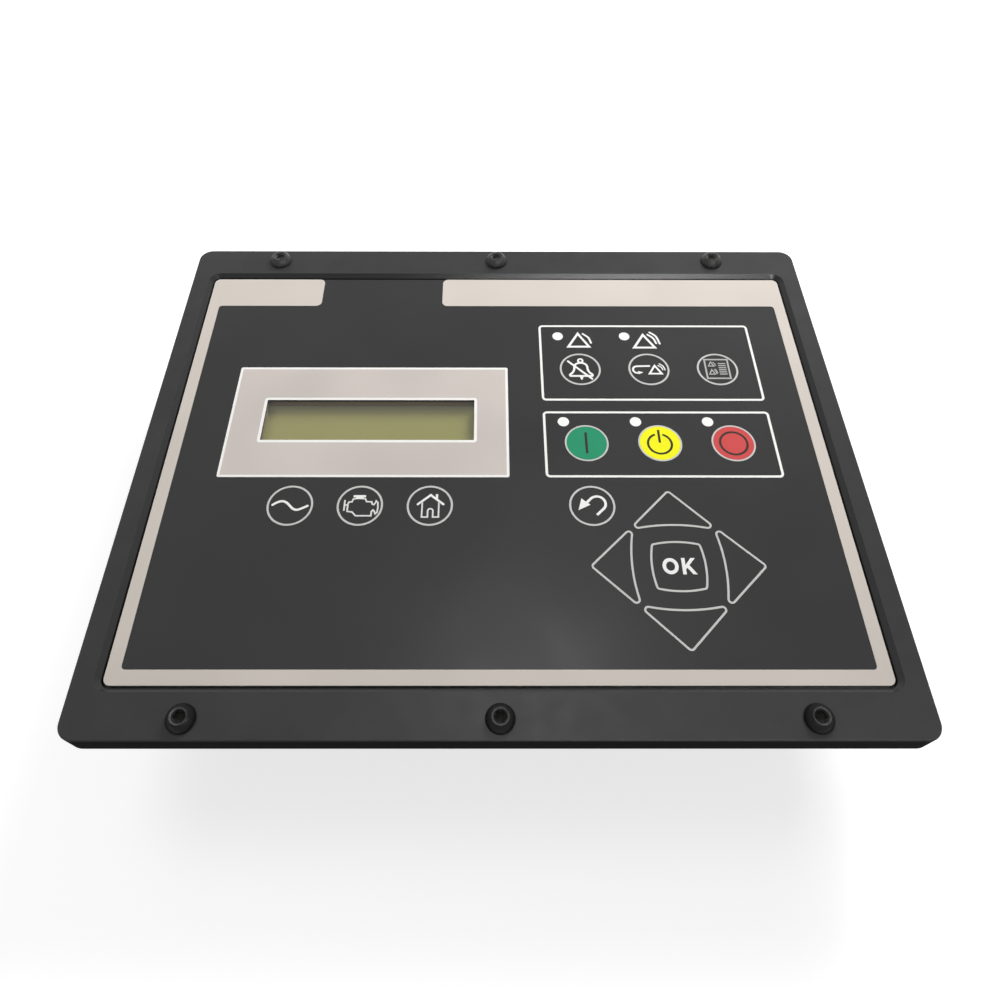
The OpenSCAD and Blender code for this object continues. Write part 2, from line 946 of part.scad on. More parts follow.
module connector_seal() color("#7d3a2a")
    at_connector()
        layer(shelf_z + wall, board_gap - flange_t)
            ring(shroud_w + 2 * (flange_out - seal_in), shroud_h + 2 * (flange_out - seal_in), shroud_r, cord_w);

module jackscrew_insert() color("#b8913f")
    at_connector()
        translate([0, 0, insert_z])
            difference() {
                cylinder(h = insert_len, r = insert_r);
                translate([0, 0, -cut])
                    cylinder(h = insert_len + 2 * cut, r = jack_r);
            }

// Plan of the housing, or of its inside, between two heights: the shelf and the deep part behind it
module housing_form(inset, low, shelf, high) {
    w = housing_w - 2 * inset;
    h = housing_h - 2 * inset;
    r = housing_r - inset;
    shrink = hundredths((high - low) * tan(draft));
    top_y = housing_h / 2 - inset;
    low_y = shelf_y + inset;
    intersection() {
        leaning_block(w - 2 * shrink, h - 2 * shrink, r - shrink, low, high, shrink);
        union() {
            layer(shelf, high - shelf)
                square([w + 2, h + 2], center = true);
            layer(low, high - low)
                translate([0, (top_y + low_y + step_r) / 2])
                    rounded(w, top_y - low_y + step_r, step_r);
        }
    }
}

// Post with a hole for a board screw, standing on the housing's inner floor
module board_post(place) {
    floor_here = place[1] < shelf_y + wall + post_r ? shelf_z : back_z;
    translate([place[0], place[1], floor_here + wall / 2])
        cylinder(h = board_z - floor_here - wall / 2, r = post_r);
}

module screw_pillar(place) {
    floor_here = place[1] < shelf_y ? shelf_z : back_z;
    side = sign(place[1]);
    translate([place[0], place[1], floor_here + wall / 2])
        cylinder(h = pillar_z - floor_here - wall / 2, r = pillar_r);
    translate([place[0] - rib_t / 2, place[1] + (side > 0 ? 0 : -housing_r + wall / 2), floor_here + wall / 2])
        cube([rib_t, housing_r - wall / 2, pillar_z - floor_here - wall / 2 - 2]);
}

module shelf_gusset() {
    reach = (shelf_depth + housing_depth) / 4;
    rotate([90, 0, 90])
        linear_extrude(rib_t, center = true)
            polygon([[shelf_y - reach, shelf_z + 1], [shelf_y + 2, shelf_z + 1],
                [shelf_y + 2, shelf_z - reach], [shelf_y, shelf_z - reach], [shelf_y - reach, shelf_z - 1]]);
}

module rear_housing() color("#2b2c2e")
    difference() {
        union() {
            difference() {
                housing_form(0, back_z, shelf_z, rim_lap);
                housing_form(wall, back_z + wall, shelf_z + wall, rim_lap + cut);
            }
            for (p = case_places)
                screw_pillar(p);
            for (p = posts)
                board_post(p);
            for (side = [-1, 1])
                for (i = [0:2])
                    translate([side * (gusset_x + i * gusset_pitch), 0, 0])
                        shelf_gusset();
            back_ribs();
        }
        layer(rim_lap - seal_h, seal_h + cut)
            seal_ring();
        at(case_places)
            translate([0, 0, back_z - rib_h - cut])
                cylinder(h = well_z - back_z + rib_h + cut, r = well_r);
        at(case_places)
            translate([0, 0, well_z - cut])
                cylinder(h = case_grip + 2 * cut, r = case_screw_r + case_hole_gap);
        at(posts)
            translate([0, 0, board_z - board_screw_len])
                cylinder(h = board_screw_len + cut, r = board_screw_r);
        at_connector()
            layer(shelf_z - cut, wall + 2 * cut)
                rounded(shroud_w + 2 * shroud_gap, shroud_h + 2 * shroud_gap, shroud_r + shroud_gap);
    }

// Ribs that stiffen the flat back, with a land round them
module back_ribs() {
    lean = hundredths(housing_depth * tan(draft));
    half_w = housing_w / 2 - lean - step_r;
    top = housing_h / 2 - lean - step_r;
    bottom = shelf_y + step_r;
    count = floor(half_w / rib_pitch);
    layer(back_z - rib_h, rib_h + wall / 2) {
        for (i = [-count:count])
            translate([i * rib_pitch - rib_t / 2, bottom])
                square([rib_t, top - bottom]);
        for (y = [bottom, top - rib_t])
            translate([-half_w, y])
                square([2 * half_w, rib_t]);
        for (x = [-half_w, half_w - rib_t])
            translate([x, bottom])
                square([rib_t, top - bottom]);
    }
}

module seal_ring() {
    inset = (wall - seal_w) / 2;
    ring(housing_w - 2 * inset, housing_h - 2 * inset, housing_r - inset, seal_w);
}

module housing_seal() color("#1d1d1f")
    layer(rim_lap - seal_h, seal_h)
        seal_ring();

module housing_screws() color("#8d8f91")
    at(case_places)
        translate([0, 0, well_z]) {
            cylinder(h = case_grip + case_bite, r = case_screw_r);
            difference() {
                translate([0, 0, -case_head_h])
                    cylinder(h = case_head_h, r1 = case_head_r * 0.8, r2 = case_head_r);
                translate([0, 0, -case_head_h - cut])
                    cylinder(h = cut + case_hex_depth, r = case_hex_r, $fn = 6);
            }
        }

module board_screws() color("#9a9c9e")
    at(posts)
        translate([0, 0, board_z - board_screw_len + hole_room]) {
            cylinder(h = board_screw_len - hole_room + board_t, r = board_screw_r);
            translate([0, 0, board_screw_len - hole_room + board_t])
                cylinder(h = board_head_h, r1 = board_head_r, r2 = board_head_r * 0.8);
        }

// Button-head socket screw: a domed head, a plain shank in the flange and a thread behind it
module mounting_screws() color("#2a2a2b")
    at(mount_places) {
        crown_h = head_h - head_rim;
        depth = (pow(head_r, 2) - pow(head_flat_r, 2) + pow(crown_h, 2)) / (2 * crown_h);
        crown_r = sqrt(pow(depth - crown_h, 2) + pow(head_r, 2));
        translate([0, 0, frame_t])
            difference() {
                intersection() {
                    cylinder(h = head_h, r = head_r);
                    translate([0, 0, head_h - depth])
                        sphere(crown_r);
                }
                translate([0, 0, head_h - hex_depth])
                    cylinder(h = hex_depth + cut, r = hex_r, $fn = 6);
                translate([0, 0, head_h - hex_lead])
                    cylinder(h = 2 * hex_lead, r1 = hex_lead_low, r2 = 2 * hex_lead_high - hex_lead_low);
            }
        cylinder(h = frame_t, r = shank_r);
        translate([0, 0, frame_t - screw_len + tip_bevel])
            cylinder(h = screw_len - frame_t - tip_bevel, r = screw_d / 2);
        translate([0, 0, frame_t - screw_len])
            cylinder(h = tip_bevel, r1 = screw_d / 2 - tip_bevel, r2 = screw_d / 2);
    }

bezel();
flange_gasket();
keypad_overlay();
border_print();
surround_print();
outline_print();
key_outline_print();
start_key_print();
standby_key_print();
stop_key_print();
indicator_windows();
key_spacer();
snap_domes();
keypad_circuit();
backing_plate();
display_window();
lcd_glass();
lcd_frame();
lcd_backlight();
lcd_board();
lcd_screws();
display_header();
light_guides();
indicator_leds();
main_board();
control_chips();
power_capacitors();
power_inductor();
tail_socket();
connector_header();
contact_block();
connector_pins();
connector_seal();
jackscrew_insert();
board_screws();
rear_housing();
housing_seal();
housing_screws();
mounting_screws();
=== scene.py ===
"""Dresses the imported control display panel: materials, printed symbols, screws, floor, light and camera."""
import math

import bpy
from mathutils import Matrix, Vector
from mathutils.geometry import delaunay_2d_cdt


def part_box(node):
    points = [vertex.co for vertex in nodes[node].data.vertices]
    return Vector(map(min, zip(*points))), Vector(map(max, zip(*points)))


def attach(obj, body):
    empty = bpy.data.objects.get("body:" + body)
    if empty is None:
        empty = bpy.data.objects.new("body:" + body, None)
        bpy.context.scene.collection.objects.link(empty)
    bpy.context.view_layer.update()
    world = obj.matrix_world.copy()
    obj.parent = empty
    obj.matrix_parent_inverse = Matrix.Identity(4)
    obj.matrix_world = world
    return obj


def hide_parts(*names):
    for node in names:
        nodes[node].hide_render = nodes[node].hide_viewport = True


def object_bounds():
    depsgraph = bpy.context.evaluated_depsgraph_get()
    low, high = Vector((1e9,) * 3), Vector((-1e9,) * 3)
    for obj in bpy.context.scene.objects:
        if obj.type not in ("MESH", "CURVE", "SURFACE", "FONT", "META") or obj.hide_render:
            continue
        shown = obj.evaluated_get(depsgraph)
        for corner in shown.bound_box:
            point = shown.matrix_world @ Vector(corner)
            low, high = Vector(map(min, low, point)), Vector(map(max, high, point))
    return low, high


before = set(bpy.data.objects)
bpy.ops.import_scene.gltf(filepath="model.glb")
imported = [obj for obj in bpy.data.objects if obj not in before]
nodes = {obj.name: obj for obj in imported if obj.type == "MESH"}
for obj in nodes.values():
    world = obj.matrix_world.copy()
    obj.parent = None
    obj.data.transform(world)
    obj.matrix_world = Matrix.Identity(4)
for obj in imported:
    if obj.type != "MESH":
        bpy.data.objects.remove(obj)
cad_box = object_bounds()
MM = 0.001

# The photograph's view, in pixels: its side, its focal length, and where the optical axis meets it
IMAGE = 1000
FOCAL = 779.2
AXIS_AT = (489.1, 446.4)
# Width of the camera's sensor, in millimetres
SENSOR = 36
# Where the camera stands, and which way the picture's right, its lower edge and its depth point
EYE = Vector((-4.19, -168.65, 252.71)) * MM
RIGHT = Vector((1.0, -0.00084, 0.00283))
DOWN = Vector((0.00092, -0.82314, -0.56783))
FORWARD = Vector((0.00281, 0.56783, -0.82314))

# Values that a noise texture seldom leaves, and how rough the noise is
NOISE_RANGE = (0.25, 0.75)
NOISE_ROUGHNESS = 0.55

# Sizes in millimetres
# Outer radius of a round key's outline
KEY_R = 8.4
# Distance from the direction pad's centre to the tip of an arrow key
ARROW_TIP = 30.25
# Place of the menu keys and the back key up the panel
MENU_Y = -25.6
# Thickness of the dark ink on the coloured keys
COAT = 0.02
# Radius of an M5 button head
HEAD_R = 4.7
# Distance from the frame's near and far ends to a mounting screw's axis
SCREW_INSET = 6.65
# Number of points in each ring of a screw
SCREW_SIDES = 96

# The floor, in metres: half its side, and its distance below the housing
FLOOR_REACH = 6.0
FLOOR_GAP = 0.05 * MM
# Brightness of the world on the object, where 1 is white
WORLD_LEVEL = 0.16


def box_mm(node):
    """A node's lowest and highest corners, in millimetres to the hundredth."""
    return [[round(value / MM, 2) for value in corner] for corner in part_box(node)]


def add_camera():
    data = bpy.data.cameras.new("camera")
    data.sensor_width = SENSOR
    data.lens = FOCAL / IMAGE * SENSOR
    data.shift_x = (IMAGE / 2 - AXIS_AT[0]) / IMAGE
    data.shift_y = (AXIS_AT[1] - IMAGE / 2) / IMAGE
    data.clip_start = 0.01
    camera = bpy.data.objects.new("camera", data)
    bpy.context.scene.collection.objects.link(camera)
    turn = Matrix((RIGHT, -DOWN, -FORWARD)).transposed().to_4x4()
    camera.matrix_world = Matrix.Translation(EYE) @ turn
    bpy.context.scene.camera = camera


# Materials

def linear(rgb):
    """A colour written as 0 to 255 per channel, as Blender's linear values."""
    out = []
    for level in rgb:
        level /= 255
        out.append(level / 12.92 if level <= 0.04045 else ((level + 0.055) / 1.055) ** 2.4)
    return (*out, 1.0)


class Surface:
    """A material's node tree with its Principled shader, and helpers that add to it."""

    def __init__(self, name, colour, roughness, specular=0.5, metallic=0.0):
        self.material = bpy.data.materials.new(name)
        self.material.use_nodes = True
        self.tree = self.material.node_tree
        self.shader = self.tree.nodes["Principled BSDF"]
        self.colour = colour
        self.roughness = roughness
        self.place = self.node("ShaderNodeTexCoord").outputs["Object"]
        self.normal = None
        self.set("Base Color", linear(colour)).set("Roughness", roughness)
        self.set("Specular IOR Level", specular).set("Metallic", metallic)

    def set(self, socket, value):
        """Gives a socket of the shader a value that is the same all over."""
        self.shader.inputs[socket].default_value = value
        return self

    def feed(self, socket, value):
        """Gives a socket of the shader a value that changes over the surface."""
        self.link(value, self.shader.inputs[socket])
        return self

    def node(self, kind, **settings):
        made = self.tree.nodes.new(kind)
        for key, value in settings.items():
            setattr(made, key, value)
        return made

    def link(self, out, to):
        self.tree.links.new(out, to)

    def noise(self, size_mm, detail=2.0, stretch=(1, 1, 1)):
        """Noise whose features are about size_mm across."""
        place = self.place
        if tuple(stretch) != (1, 1, 1):
            mapping = self.node("ShaderNodeMapping")
            mapping.inputs["Scale"].default_value = [1 / s for s in stretch]
            self.link(place, mapping.inputs["Vector"])
            place = mapping.outputs["Vector"]
        made = self.node("ShaderNodeTexNoise")
        made.inputs["Scale"].default_value = 1 / (size_mm * MM)
        made.inputs["Detail"].default_value = detail
        made.inputs["Roughness"].default_value = NOISE_ROUGHNESS
        self.link(place, made.inputs["Vector"])
        return made.outputs["Fac"]

    def ramp(self, value, low, high, out_low=0.0, out_high=1.0, kind="LINEAR"):
        """From out_low to out_high while value goes from low to high."""
        made = self.node("ShaderNodeMapRange", interpolation_type=kind)
        limits = {"From Min": low, "From Max": high, "To Min": out_low, "To Max": out_high}
        for socket, number in limits.items():
            made.inputs[socket].default_value = number
        self.link(value, made.inputs["Value"])
        return made.outputs["Result"]

    def across(self, axis, low_mm, high_mm, out_low=0.0, out_high=1.0):
        """From out_low to out_high between two places along an axis of the object."""
        split = self.node("ShaderNodeSeparateXYZ")
        self.link(self.place, split.inputs["Vector"])
        return self.ramp(split.outputs[axis], low_mm * MM, high_mm * MM, out_low, out_high)

    def upward(self):
        """The upward part of the normal: 1 on the front and 0 on an upright side."""
        split = self.node("ShaderNodeSeparateXYZ")
        self.link(self.node("ShaderNodeTexCoord").outputs["Normal"], split.inputs["Vector"])
        return split.outputs["Z"]

    def times(self, value, other):
        made = self.node("ShaderNodeMath", operation="MULTIPLY")
        self.link(value, made.inputs[0])
        self.link(other, made.inputs[1])
        return made.outputs[0]

    def mixed(self, share, low, high):
        """From the number low to the value high by share."""
        made = self.node("ShaderNodeMix")
        self.link(share, made.inputs["Factor"])
        made.inputs["A"].default_value = low
        self.link(high, made.inputs["B"])
        return made.outputs["Result"]

    def paint(self, share, colour):
        """Mixes colour over the base colour by share."""
        mix = self.node("ShaderNodeMix", data_type="RGBA")
        base = self.shader.inputs["Base Color"]
        if base.is_linked:
            self.link(base.links[0].from_socket, mix.inputs["A"])
        else:
            mix.inputs["A"].default_value = base.default_value
        mix.inputs["B"].default_value = linear(colour)
        self.link(share, mix.inputs["Factor"])
        return self.feed("Base Color", mix.outputs["Result"])

    def vary(self, size_mm, dark, light, detail=3.0, stretch=(1, 1, 1)):
        """Mottles the colour between dark and light times itself."""
        low = [level * dark for level in self.colour]
        high = [min(255, level * light) for level in self.colour]
        self.set("Base Color", linear(low))
        value = self.noise(size_mm, detail, stretch)
        return self.paint(self.ramp(value, *NOISE_RANGE, kind="SMOOTHSTEP"), high)

    def gloss(self, size_mm, spread, detail=2.0, stretch=(1, 1, 1)):
        """Lets the roughness wander by spread on both sides."""
        value = self.noise(size_mm, detail, stretch)
        low = max(0.02, self.roughness - spread)
        high = min(1, self.roughness + spread)
        return self.feed("Roughness", self.ramp(value, *NOISE_RANGE, low, high, "SMOOTHSTEP"))

    def grain(self, size_mm, depth_mm, strength=1.0, detail=2.0, stretch=(1, 1, 1)):
        """A bump of fine noise over any bump that is there already."""
        made = self.node("ShaderNodeBump")
        made.inputs["Distance"].default_value = depth_mm * MM
        made.inputs["Strength"].default_value = strength
        self.link(self.noise(size_mm, detail, stretch), made.inputs["Height"])
        if self.normal is not None:
            self.link(self.normal, made.inputs["Normal"])
        self.normal = made.outputs["Normal"]
        return self.feed("Normal", self.normal)

    def on(self, *names):
        """Puts the material on these CAD nodes."""
        for name in names:
            nodes[name].data.materials.clear()
            nodes[name].data.materials.append(self.material)


def mottled_plastic(name, colour, roughness):
    """Injection-moulded plastic with a spark-eroded grain."""
    made = Surface(name, colour, roughness, specular=0.3).vary(14, 0.95, 1.05)
    return made.grain(0.45, 0.02, 0.5).grain(2.5, 0.02, 0.25)


def moulded(name, colour, roughness=0.55):
    return mottled_plastic(name, colour, roughness).gloss(9, 0.05)


def satin_moulded(name, colour, bevel_shade_colour, side_shade_colour):
    """Moulded plastic: matt upright sides, as they leave the tool, a satin front and smoother bevels. The
    bevels and the upright sides are painted darker than the front: painted shade.
    """
    front_range = (0.75, 0.95)
    side_range = (0.1, 0.6)
    side_shade_range = (0.1, 0.5)
    front_noise = (0.3, 0.7)
    front_roughness = (0.36, 0.42)
    bevel_roughness = 0.2
    side_roughness = 0.85
    specular = (0.015, 0.23)
    made = mottled_plastic(name, colour, side_roughness)
    up = made.upward()
    # Painted shade: the bevels darker than the front, and the upright sides darker still
    made.paint(made.ramp(up, *front_range, 1, 0), bevel_shade_colour)
    made.paint(made.ramp(up, *side_shade_range, 1, 0), side_shade_colour)
    front = made.ramp(made.noise(9), *front_noise, *front_roughness)
    level = made.mixed(made.ramp(up, *front_range), bevel_roughness, front)
    made.feed("Roughness", made.mixed(made.ramp(up, *side_range), side_roughness, level))
    return made.feed("Specular IOR Level", made.ramp(up, *side_range, *specular))


def film(name, colour, roughness=0.5, spread=0.04):
    """Printed polyester film with a fine velvet texture."""
    made = Surface(name, colour, roughness, specular=0.2)
    made.vary(30, 0.975, 1.02, detail=0.5).gloss(22, spread, detail=0.5)
    return made.grain(0.22, 0.006, 0.5, detail=1.0)


def ink(name, colour, roughness=0.5):
    made = Surface(name, colour, roughness, specular=0.3)
    return made.vary(5, 0.985, 1.01).grain(0.22, 0.006, 0.4, detail=1.0)


def metal(name, colour, roughness, stretch=(1, 1, 1)):
    made = Surface(name, colour, roughness, metallic=1.0)
    made.vary(2.5, 0.9, 1.05, stretch=stretch).gloss(1.2, 0.08, stretch=stretch)
    return made.grain(0.25, 0.004, 0.5, stretch=stretch)


def rubber(name, colour):
    made = Surface(name, colour, 0.85, specular=0.25)
    return made.vary(3, 0.9, 1.1).grain(0.5, 0.04, 0.6)


def clear(name, colour, roughness):
    """Clear plastic: mostly see-through, with its own faint gloss."""
    made = Surface(name, colour, roughness, specular=0.3)
    return made.vary(6, 0.98, 1.0).set("Alpha", 0.04)


def dress_case():
    """The mouldings and their seals. The frame's collar below the display's window is a brown grey."""
    # The second and third colours are painted shade, for the bevels and the upright sides
    plastic = satin_moulded("frame_plastic", (51, 51, 51), (45, 45, 46), (40, 40, 40))
    low, high = box_mm("display_window")
    inset, blur = 0.35, 0.05
    collar = plastic.across("Z", low[2] + blur, low[2] - blur)
    for axis, first, last in (("X", low[0], high[0]), ("Y", low[1], high[1])):
        first += inset
        last -= inset
        collar = plastic.times(collar, plastic.across(axis, first - blur, first + blur))
        collar = plastic.times(collar, plastic.across(axis, last + blur, last - blur))
    plastic.paint(collar, (144, 128, 98)).on("bezel")
    moulded("housing_plastic", (48, 48, 49), 0.6).on("rear_housing")
    rubber("seal_rubber", (30, 30, 31)).on("flange_gasket", "housing_seal")


def dress_keypad():
    """The printed film, its inks and the layers under it."""
    film("overlay_film", (50, 50, 50), 0.31, 0.03).on("keypad_overlay")
    beige = film("beige_print", (212, 204, 195))
    beige.vary(60, 0.985, 1.015, stretch=(2.5, 1, 1)).on("border_print")
    film("surround_ink", (209, 200, 194)).on("surround_print")
    ink("white_print", (252, 251, 247)).on("outline_print")
    ink("grey_print", (205, 205, 202)).on("key_outline_print")
    ink("green_print", (36, 144, 104)).on("start_key_print")
    ink("yellow_print", (253, 250, 30)).on("standby_key_print")
    ink("red_print", (207, 79, 79)).on("stop_key_print")
    ink("lamp_film", (255, 254, 250), 0.4).on("indicator_windows")
    film("spacer_film", (232, 230, 220)).on("key_spacer")
    film("circuit_film", (186, 199, 181)).on("keypad_circuit")


def dress_display():
    """A grey-green field, a little paler at its far edge and its left end. Its faint glow is painted light,
    and so is the paler far edge: both lift the shade that the window's edge casts on the field.
    """
    far_edge, near_part = 22, 6
    left_end, right_part = -90, -30
    field = Surface("display_field", (141, 138, 78), 0.35, specular=0.1)
    # Painted light: a faint glow that lifts the shade under the window's edge
    field.set("Emission Color", linear((255, 243, 200))).set("Emission Strength", 0.035)
    # Painted light: the far edge a little paler, against the shadow of the window's edge
    field.vary(8, 0.985, 1.015).paint(field.across("Y", far_edge, near_part), (139, 138, 75))
    field.paint(field.across("X", left_end, right_part, 0.3, 0.0), (147, 141, 92)).on("lcd_glass")
    ink("light_diffuser", (244, 244, 238)).on("lcd_backlight")
    clear("clear_lens", (236, 240, 238), 0.06).on("display_window")
    clear("light_guide", (230, 238, 238), 0.1).on("light_guides")


def dress_metal():
    metal("dome_steel", (205, 208, 210), 0.25).on("snap_domes")
    metal("backing_aluminium", (176, 178, 180), 0.35, stretch=(8, 1, 1)).on("backing_plate")
    metal("zinc_steel", (168, 170, 172), 0.35).on("lcd_screws", "board_screws", "housing_screws")
    metal("pin_brass", (196, 160, 84), 0.25).on("connector_pins", "jackscrew_insert")
    coated = Surface("black_steel", (15, 15, 16), 0.4, specular=0.16)
    coated.vary(1.5, 0.75, 1.25).gloss(1, 0.06).grain(0.3, 0.008, 0.5)
    coated.on("mounting_screws", "lcd_frame")


def dress_electronics():
    """The boards, what is on them, and the connector."""
    moulded("connector_plastic", (38, 39, 41), 0.5).on("connector_header", "contact_block", "display_header")
    moulded("pale_plastic", (222, 217, 199), 0.5).on("tail_socket")
    rubber("red_seal", (126, 60, 42)).on("connector_seal")
    board = Surface("circuit_board", (31, 90, 61), 0.35)
    board.vary(3, 0.85, 1.1).gloss(4, 0.08).grain(0.6, 0.01, 0.4).on("lcd_board", "main_board")
    moulded("chip_resin", (36, 36, 38), 0.45).on("control_chips")
    Surface("capacitor_sleeve", (42, 46, 58), 0.3).vary(4, 0.95, 1.08).on("power_capacitors")
    moulded("ferrite", (60, 57, 54), 0.7).on("power_inductor")
    Surface("lamp_resin", (226, 227, 218), 0.2).vary(1, 0.97, 1.02).on("indicator_leds")


# Flat shapes, each a list of points in millimetres

def ribbon(points, width, closed=False):
    """Quads along a line, with mitred corners."""
    shortest_mitre = 0.35
    points = [Vector(p) for p in points]
    count = len(points)
    sides = []
    for i, here in enumerate(points):
        before = points[i - 1] if closed or i else None
        after = points[(i + 1) % count] if closed or i < count - 1 else None
        ahead = (after - here).normalized() if after is not None else None
        back = (here - before).normalized() if before is not None else None
        along = ahead if back is None else back if ahead is None else (ahead + back).normalized()
        across = Vector((-along.y, along.x))
        edge = ahead if ahead is not None else back
        reach = width / 2 / max(shortest_mitre, across.dot(Vector((-edge.y, edge.x))))
        sides.append((here + across * reach, here - across * reach))
    quads = []
    for i in range(count if closed else count - 1):
        start, end = sides[i], sides[(i + 1) % count]
        quads.append([start[0], start[1], end[1], end[0]])
    return quads


def turns(count):
    """Angles all round, in radians."""
    return [2 * math.pi * i / count for i in range(count)]


def disc(centre, radius, sides=20):
    return [[Vector(centre) + Vector((math.cos(a), math.sin(a))) * radius for a in turns(sides)]]


def stroke(points, width):
    """A ribbon with round ends."""
    return ribbon(points, width) + disc(points[0], width / 2) + disc(points[-1], width / 2)


def arc(centre, radius, start, end, step=9.0):
    """Points on an arc, from start to end in degrees."""
    count = max(2, math.ceil(abs(end - start) / step))
    angles = [math.radians(start + (end - start) * i / count) for i in range(count + 1)]
    return [(centre[0] + radius * math.cos(a), centre[1] + radius * math.sin(a)) for a in angles]


def circle(centre, radius, width, step=6.0):
    return ribbon(arc(centre, radius, 0, 360 - step, step), width, closed=True)


def oval_ring(centre, outer, inner, sides=36):
    """Quads between two ovals, each given by its half width and half height."""
    rims = [[(centre[0] + w * math.cos(a), centre[1] + h * math.sin(a)) for a in turns(sides)]
            for w, h in (outer, inner)]
    return [[rims[0][i - 1], rims[0][i], rims[1][i], rims[1][i - 1]] for i in range(sides)]


def smooth(points, steps=6):
    """A Catmull-Rom line through the points."""
    points = [Vector(p) for p in points]
    ends = [points[0] * 2 - points[1], *points, points[-1] * 2 - points[-2]]
    out = []
    for i in range(1, len(ends) - 2):
        a, b, c, d = ends[i - 1:i + 3]
        for k in range(steps):
            t = k / steps
            out.append((b * 2 + (c - a) * t + (a * 2 - b * 5 + c * 4 - d) * t ** 2
                        + (b * 3 - a - c * 3 + d) * t ** 3) / 2)
    return [*out, points[-1]]


def triangle(apex, base_y, half, width):
    x, y = apex
    return ribbon([(x, y), (x + half, base_y), (x - half, base_y)], width, closed=True)


def moved(shapes, by):
    return [[Vector(p) + Vector(by) for p in shape] for shape in shapes]


def turns_left(shape):
    return sum(a[0] * b[1] - a[1] * b[0] for a, b in zip(shape, [*shape[1:], shape[0]])) > 0


def plate(name, shapes, heights, material):
    """Joins flat shapes into one closed plate between two heights, in millimetres."""
    inside_only, same_point = 1, 1e-4
    coords, outlines = [], []
    for shape in shapes:
        outlines.append(list(range(len(coords), len(coords) + len(shape))))
        coords.extend(Vector(p) for p in (shape if turns_left(shape) else shape[::-1]))
    places, _, triangles, _, _, sources = delaunay_2d_cdt(coords, [], outlines, inside_only, same_point)
    kept = []
    for corners, source in zip(triangles, sources):
        if not source:
            continue
        a, b, c = (places[i] for i in corners)
        kept.append(corners if (b - a).cross(c - a) > 0 else corners[::-1])
    used = sorted({i for corners in kept for i in corners})
    number = {old: new for new, old in enumerate(used)}
    count = len(used)
    verts = [(places[i].x * MM, places[i].y * MM, z * MM) for z in heights for i in used]
    faces = []
    edges = []
    for corners in kept:
        a, b, c = (number[i] for i in corners)
        faces += [(a + count, b + count, c + count), (c, b, a)]
        edges += [(a, b), (b, c), (c, a)]
    directed = set(edges)
    faces += [(a, b, b + count, a + count) for a, b in edges if (b, a) not in directed]
    return piece(name, verts, faces, material)


def piece(name, verts, faces, material):
    mesh = bpy.data.meshes.new(name)
    mesh.from_pydata(verts, [], faces)
    mesh.validate()
    mesh.materials.append(material)
    made = bpy.data.objects.new(name, mesh)
    bpy.context.scene.collection.objects.link(made)
    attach(made, "root")
    return made


# Printed symbols, each drawn round the centre of its key

def alarm_symbols(pitch):
    """A triangle with one wave above the first key, and one with two waves above the next."""
    half, line, wave = 4.35, 1.0, 0.85
    single = triangle((0.2, 19.6), 12.25, half, line)
    single += stroke(smooth([(2.3, 19.5), (4.5, 17.4), (5.5, 14.4)]), wave)
    double = triangle((-0.4, 19.0), 11.8, half, line)
    double += stroke(smooth([(1.6, 19.1), (3.7, 17.1), (4.7, 14.2)]), wave)
    double += stroke(smooth([(2.6, 20.4), (5.0, 18.1), (6.2, 14.0)]), wave)
    return single + moved(double, (pitch, 0))


def silence_symbol():
    """A bell with its knob and clapper, crossed out."""
    line, knob_line = 0.9, 0.75
    bell = [(-4.1, -3.65), (-4.35, -3.0), (-3.2, -1.8), (-2.5, -0.2), (-2.3, 1.5), (-1.5, 2.8), (0.3, 3.35),
            (2.1, 2.8), (2.9, 1.5), (3.05, -0.2), (3.7, -1.8), (4.8, -2.9), (4.6, -3.65)]
    shapes = ribbon(smooth(bell, 4), line) + ribbon([(-4.55, -3.65), (5.0, -3.65)], line)
    shapes += circle((0.3, 4.5), 0.95, knob_line, 15)
    shapes.append([(-0.5, -4.0), (1.1, -4.0), (0.65, -5.4), (0.3, -5.7), (-0.05, -5.4)])
    return shapes + stroke([(-4.8, 4.2), (4.5, -5.1)], line)


def acknowledge_symbol():
    """An arrow that turns back to a triangle with two waves."""
    line, side_line, wave = 0.85, 0.8, 0.5
    shaft = [(0.3, 1.7), *arc((-4.75, -0.25), 1.8, 92, 262)]
    shapes = stroke(shaft, line) + ribbon([shaft[-1], (-4.1, -1.8)], line)
    shapes.append([(-4.5, -0.9), (-2.5, -1.7), (-4.4, -2.7)])
    shapes += triangle((2.55, 1.9), -2.4, 2.5, side_line)
    shapes += stroke(smooth([(4.0, 2.0), (5.2, 1.0), (5.7, -0.3)]), wave)
    return shapes + stroke(smooth([(4.6, 2.9), (6.0, 1.6), (6.6, -0.4)]), wave)


def list_symbol():
    """A framed page with two small triangles and six rows of text."""
    frame_line, side_line, wave, row_line = 0.68, 0.45, 0.35, 0.5
    rows, first_row, row_pitch = 6, 3.05, 1.12
    shapes = ribbon([(-4.75, 5.2), (4.7, 5.2), (4.7, -4.8), (-4.75, -4.8)], frame_line, closed=True)
    for apex, base in (((-2.3, 3.9), 1.7), ((-2.4, -0.2), -2.6)):
        shapes += triangle(apex, base, 1.15, side_line)
        x, y = apex
        shapes += ribbon(smooth([(x + 0.85, y - 0.1), (x + 1.5, y - 0.8), (x + 1.8, base + 0.2)]), wave)
    shapes += ribbon(smooth([(-1.15, 0.2), (-0.5, -0.6), (-0.2, -2.3)]), wave)
    for i in range(rows):
        y = first_row - row_pitch * i
        shapes += ribbon([(0.6, y), (3.7, y)], row_line)
    return shapes


